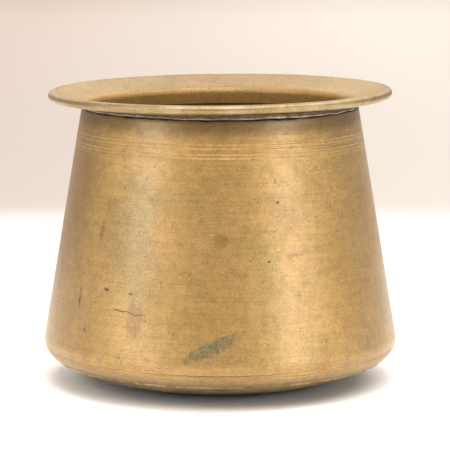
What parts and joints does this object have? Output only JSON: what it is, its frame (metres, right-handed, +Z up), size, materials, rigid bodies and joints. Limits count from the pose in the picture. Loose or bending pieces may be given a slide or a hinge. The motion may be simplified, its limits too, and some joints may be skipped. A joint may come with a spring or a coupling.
{
  "type": "conical cooking pot",
  "caption": "Tall conical brass cooking pot, widest at a rounded lower corner, with a flared collar, a thick wired lip, a soldered neck joint and a dished base.",
  "frame": {"origin": "middle of the worn flat under the base, on the surface the pot stands on", "axes": "+Z up along the pot's axis of turning; the pot looks the same all round, so +X and +Y are any two square directions"},
  "size_m": [0.2378, 0.2378, 0.1967],
  "materials": {
    "wall_brass": "aged, fine turned brushing, satin with brown and grey-green patina",
    "collar_brass": "aged satin, brightest on the lip where it is handled",
    "base_brass": "dull, hammered, olive-brown",
    "braze": "ragged, partly worn bright",
    "solder": null
  },
  "bodies": {
    "root": {"body_wall": "wall_brass", "base_pan": "base_brass", "base_braze": "braze", "rim_collar": "collar_brass", "rim_wire": "wall_brass", "neck_solder": "solder"}
  },
  "joints": []
}
